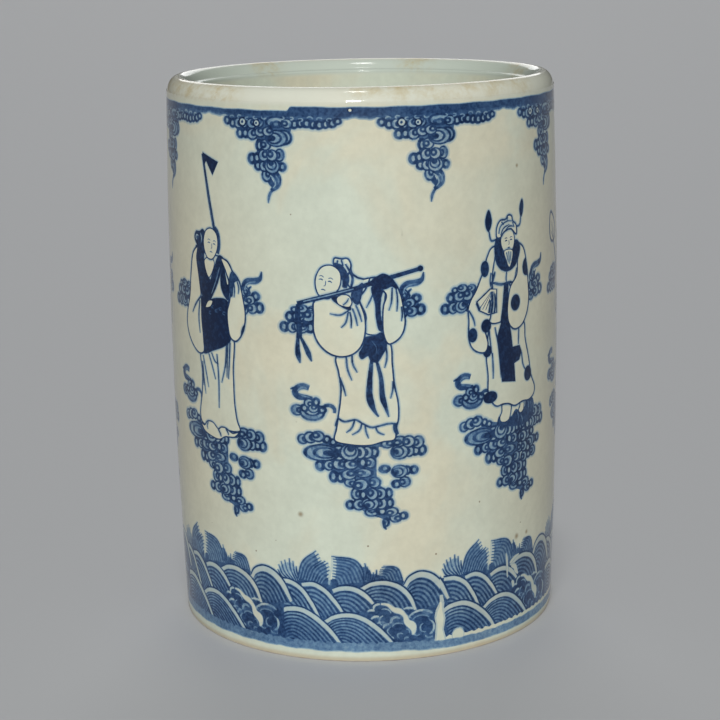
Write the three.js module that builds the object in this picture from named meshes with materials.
// Brush holder pot: a thrown and glazed porcelain cylinder for standing writing brushes in.
// It is one fired body: a slightly swelling wall, a thick rolled lip, a flat foot ring and a
// recessed base. Millimetres, +Z up, origin at the centre of the foot ring's resting plane.
import * as THREE from 'three';

// ---- Driving dimensions ----------------------------------------------------------------
const HEIGHT = 178;             // resting plane to the crest of the lip
const RIM_RADIUS = 62.5;        // outside of the wall, just under the lip
const FOOT_RADIUS = 62.1;       // outside of the wall, just above the foot's rounded edge
const BELLY_SWELL = 1.5;        // how far the wall stands out at mid height, beyond a straight line
const WALL_THICKNESS = 8.4;     // at mid height

const LIP_HEIGHT = 5.6;         // from where the lip starts to round over, up to its crest
const LIP_CREST_RADIUS = 58.8;  // circle of the highest points
const MOUTH_RADIUS = 54.3;      // the lip's inner edge, the narrowest place of the hollow
const MOUTH_DROP = 3.4;         // the inner edge lies this far below the crest
const MOUTH_EDGE_ROUNDING = 0.9;
const LIP_INNER_HEIGHT = 8;     // height of the lip's inner face, below its inner edge
const LIP_EASING_HEIGHT = 14;   // below that, the lip eases out into the thinner wall

const BASE_THICKNESS = 9;       // floor of the hollow above the recess
const BASE_RECESS = 4;          // the underside stands this far above the resting plane
const INNER_CORNER_RADIUS = 8;  // between the wall and the floor of the hollow
const FOOT_ROUNDING = 0.5;      // outer edge of the foot ring
const FOOT_RING_WIDTH = 8.2;    // the flat ring that touches the table
const RECESS_SLOPE = 1.2;       // the recess narrows by this much on its way up

// ---- Fineness --------------------------------------------------------------------------
const TURN_SEGMENTS = 96;
const WALL_STEPS = 9;
const CURVE_STEPS = 4;

// ---- Curves of the profile, each from its lower or outer end to its upper or inner one --
const point = (radius, z) => new THREE.Vector2(radius, z);

// A quarter ellipse round a centre, between two angles in quarter turns.
function quarterEllipse(centre, radiusAcross, radiusUp, fromQuarter, toQuarter) {
  const quarter = Math.PI / 2;
  const clockwise = toQuarter < fromQuarter;
  return new THREE.EllipseCurve(
    centre.x, centre.y, radiusAcross, radiusUp,
    fromQuarter * quarter, toQuarter * quarter, clockwise,
  ).getPoints(CURVE_STEPS);
}

// A soft S from one point to another that leaves and arrives upright.
function easing(from, to) {
  const middle = (from.y + to.y) / 2;
  return new THREE.CubicBezierCurve(from, point(from.x, middle), point(to.x, middle), to)
    .getPoints(CURVE_STEPS);
}

// A wall whose middle stands out from the straight line between its ends.
function swellingWall(from, to, swell) {
  const middle = from.clone().add(to).multiplyScalar(0.5);
  middle.x += 2 * swell;
  return new THREE.QuadraticBezierCurve(from, middle, to).getPoints(WALL_STEPS);
}

// ---- The pot's sections ----------------------------------------------------------------
function undersideAndFoot() {
  const ringOuter = FOOT_RADIUS - FOOT_ROUNDING;
  const ringInner = ringOuter - FOOT_RING_WIDTH;
  return [
    point(0, BASE_RECESS),
    point(ringInner - RECESS_SLOPE, BASE_RECESS),
    point(ringInner, 0),
    point(ringOuter, 0),
    ...quarterEllipse(point(ringOuter, FOOT_ROUNDING), FOOT_ROUNDING, FOOT_ROUNDING, -1, 0),
  ];
}

function outerWall() {
  const from = point(FOOT_RADIUS, FOOT_ROUNDING);
  return swellingWall(from, point(RIM_RADIUS, HEIGHT - LIP_HEIGHT), BELLY_SWELL);
}

function lip() {
  const crest = point(LIP_CREST_RADIUS, HEIGHT);
  const outer = quarterEllipse(
    point(crest.x, HEIGHT - LIP_HEIGHT), RIM_RADIUS - crest.x, LIP_HEIGHT, 0, 1,
  );
  const edgeTop = HEIGHT - MOUTH_DROP;
  const edgeCentre = point(MOUTH_RADIUS + MOUTH_EDGE_ROUNDING, edgeTop - MOUTH_EDGE_ROUNDING);
  const slope = new THREE.QuadraticBezierCurve(
    crest, point((crest.x + edgeCentre.x) / 2, HEIGHT), point(edgeCentre.x, edgeTop),
  ).getPoints(CURVE_STEPS);
  const edge = quarterEllipse(edgeCentre, MOUTH_EDGE_ROUNDING, MOUTH_EDGE_ROUNDING, 1, 2);
  return [...outer, ...slope, ...edge];
}

function innerWallAndFloor() {
  const innerRadius = (RIM_RADIUS + FOOT_RADIUS) / 2 + BELLY_SWELL - WALL_THICKNESS;
  const easingTop = HEIGHT - MOUTH_DROP - LIP_INNER_HEIGHT;
  const floor = BASE_RECESS + BASE_THICKNESS;
  const corner = point(innerRadius - INNER_CORNER_RADIUS, floor + INNER_CORNER_RADIUS);
  return [
    ...easing(point(MOUTH_RADIUS, easingTop), point(innerRadius, easingTop - LIP_EASING_HEIGHT)),
    ...quarterEllipse(corner, INNER_CORNER_RADIUS, INNER_CORNER_RADIUS, 0, -1),
    point(0, floor),
  ];
}

// Neighbouring sections share an end point, which the turned shape holds only once.
function withoutRepeats(points) {
  const closest = 1e-4;
  return points.filter((p, i) => i === 0 || p.distanceTo(points[i - 1]) > closest);
}

function potBody() {
  const profile = withoutRepeats([
    ...undersideAndFoot(),
    ...outerWall(),
    ...lip(),
    ...innerWallAndFloor(),
  ]);
  const geometry = new THREE.LatheGeometry(profile, TURN_SEGMENTS);
  geometry.rotateX(Math.PI / 2);
  const glaze = new THREE.MeshStandardMaterial({ color: 0xcbd2c2, roughness: 0.18, metalness: 0 });
  const mesh = new THREE.Mesh(geometry, glaze);
  mesh.name = 'pot_body';
  return mesh;
}

const brushPot = new THREE.Group();
brushPot.add(potBody());

export default brushPot;
